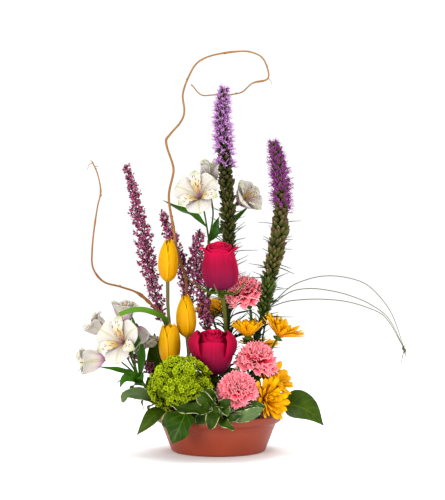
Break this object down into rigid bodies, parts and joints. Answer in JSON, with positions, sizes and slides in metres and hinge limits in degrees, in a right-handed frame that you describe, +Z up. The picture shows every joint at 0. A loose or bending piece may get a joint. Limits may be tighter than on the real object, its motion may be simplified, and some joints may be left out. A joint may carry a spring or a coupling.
{
  "type": "flower bowl arrangement",
  "caption": "Cut-flower arrangement in a low round terracotta bowl: roses, tulips, carnations, daisies, liatris, heather and curly willow.",
  "frame": {"origin": "centre of the flat underside of the bowl", "axes": "+Z up, -Y towards the front that faces the viewer, +X to the viewer's right"},
  "size_m": [0.4524, 0.2163, 0.5658],
  "materials": {
    "terracotta": "matt moulded plastic in terracotta colour",
    "foam": "wet green floral foam, fine open cells",
    "bark": "smooth golden-brown willow bark",
    "fresh_leaf": "smooth fresh green stem and leaf, slight sheen",
    "dark_leaf": "dark green leaf, satin",
    "grey_leaf": "grey-green leaf with a pale cream edge, satin",
    "bud_green": "dark green buds with brown-pink tips, matt",
    "liatris_purple": "fuzzy lilac florets, matt",
    "heather_mauve": "small dry mauve bells on woody sprays, matt",
    "white_petal": "thin white petals, pink at their base, soft",
    "yellow_petal": "smooth yellow tulip petals, satin",
    "daisy_petal": "golden yellow strap petals, matt",
    "rose_petal": "crimson velvet rose petals",
    "carnation_petal": "pink frilled petals, darker in their folds",
    "lime_petal": "lime green florets, soft"
  },
  "bodies": {
    "root": {"alstroemeria_left_bloom_1": "white_petal", "alstroemeria_left_bloom_2": "white_petal", "alstroemeria_left_bloom_3": "white_petal", "alstroemeria_left_bloom_4": "white_petal", "alstroemeria_left_bloom_5": "white_petal", "alstroemeria_left_stem": "fresh_leaf", "alstroemeria_top_bloom_1": "white_petal", "alstroemeria_top_bloom_2": "white_petal", "alstroemeria_top_bloom_3": "white_petal", "alstroemeria_top_stem": "fresh_leaf", "bear_grass": "dark_leaf", "bowl": "terracotta", "carnation_1_bloom": "carnation_petal", "carnation_1_stem": "grey_leaf", "carnation_2_bloom": "carnation_petal", "carnation_2_stem": "grey_leaf", "carnation_3_bloom": "carnation_petal", "carnation_3_stem": "grey_leaf", "daisy_1_bloom": "daisy_petal", "daisy_2_bloom": "daisy_petal", "daisy_3_bloom": "daisy_petal", "daisy_4_bloom": "daisy_petal", "daisy_5_bloom": "daisy_petal", "daisy_6_bloom": "daisy_petal", "daisy_spray_back_stem": "fresh_leaf", "daisy_spray_lower_stem": "fresh_leaf", "daisy_spray_upper_stem": "fresh_leaf", "floral_foam": "foam", "heather_left": "heather_mauve", "heather_low": "heather_mauve", "heather_middle": "heather_mauve", "heather_right": "heather_mauve", "ivy_front": "dark_leaf", "liatris_centre_flowers": "liatris_purple", "liatris_centre_spike": "bud_green", "liatris_right_flowers": "liatris_purple", "liatris_right_spike": "bud_green", "pittosporum_back": "grey_leaf", "pittosporum_front": "grey_leaf", "pittosporum_left": "grey_leaf", "rose_lower_bloom": "rose_petal", "rose_lower_stem": "fresh_leaf", "rose_upper_bloom": "rose_petal", "rose_upper_stem": "fresh_leaf", "salal_left": "dark_leaf", "salal_right": "dark_leaf", "tulip_1_bloom": "yellow_petal", "tulip_1_stem": "fresh_leaf", "tulip_2_bloom": "yellow_petal", "tulip_2_stem": "fresh_leaf", "tulip_3_bloom": "yellow_petal", "tulip_3_stem": "fresh_leaf", "viburnum_head": "lime_petal", "viburnum_stem": "fresh_leaf", "willow_left": "bark", "willow_tall": "bark"}
  },
  "joints": []
}
